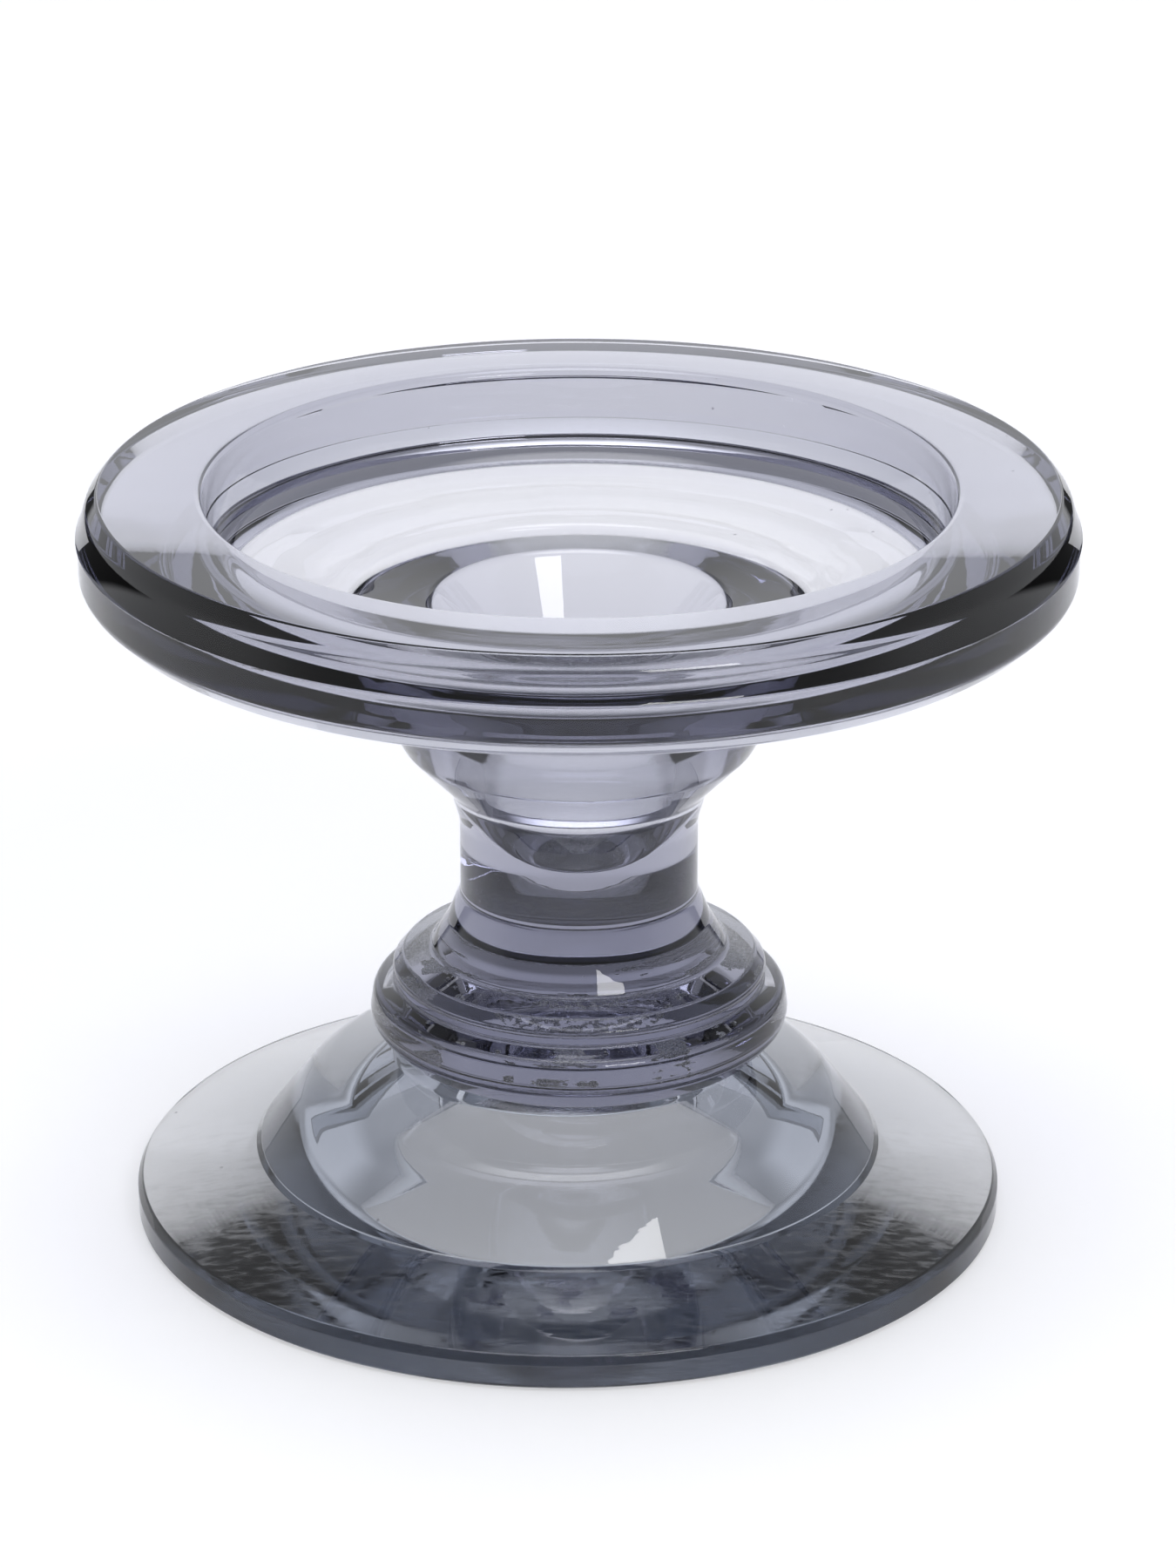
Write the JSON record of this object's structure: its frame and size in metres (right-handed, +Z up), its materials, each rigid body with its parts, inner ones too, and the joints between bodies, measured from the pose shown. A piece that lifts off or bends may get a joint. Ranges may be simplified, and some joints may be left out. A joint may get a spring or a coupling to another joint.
{
  "type": "glass candlestick",
  "caption": "Pressed smoke-grey glass candlestick: a recessed pan for a pillar candle around a socket for a taper candle, on a knopped stem and a domed foot.",
  "frame": {"origin": "on the flat surface the foot stands on, directly under the middle of the pan", "axes": "+Z up along the stem; X and Y are horizontal, and the foot's axis is 1.4 mm to the -X side of the stem's"},
  "size_m": [0.119, 0.119, 0.0924],
  "materials": {
    "lavender_glass": "fire-polished pressed glass, smoke grey with a lavender cast",
    "grey_glass": "fire-polished pressed glass, neutral smoke grey",
    "adhesive": "clear cured adhesive with trapped air"
  },
  "bodies": {
    "root": {"pan_and_stem": "lavender_glass", "bond_film": "adhesive", "foot": "grey_glass"}
  },
  "joints": []
}
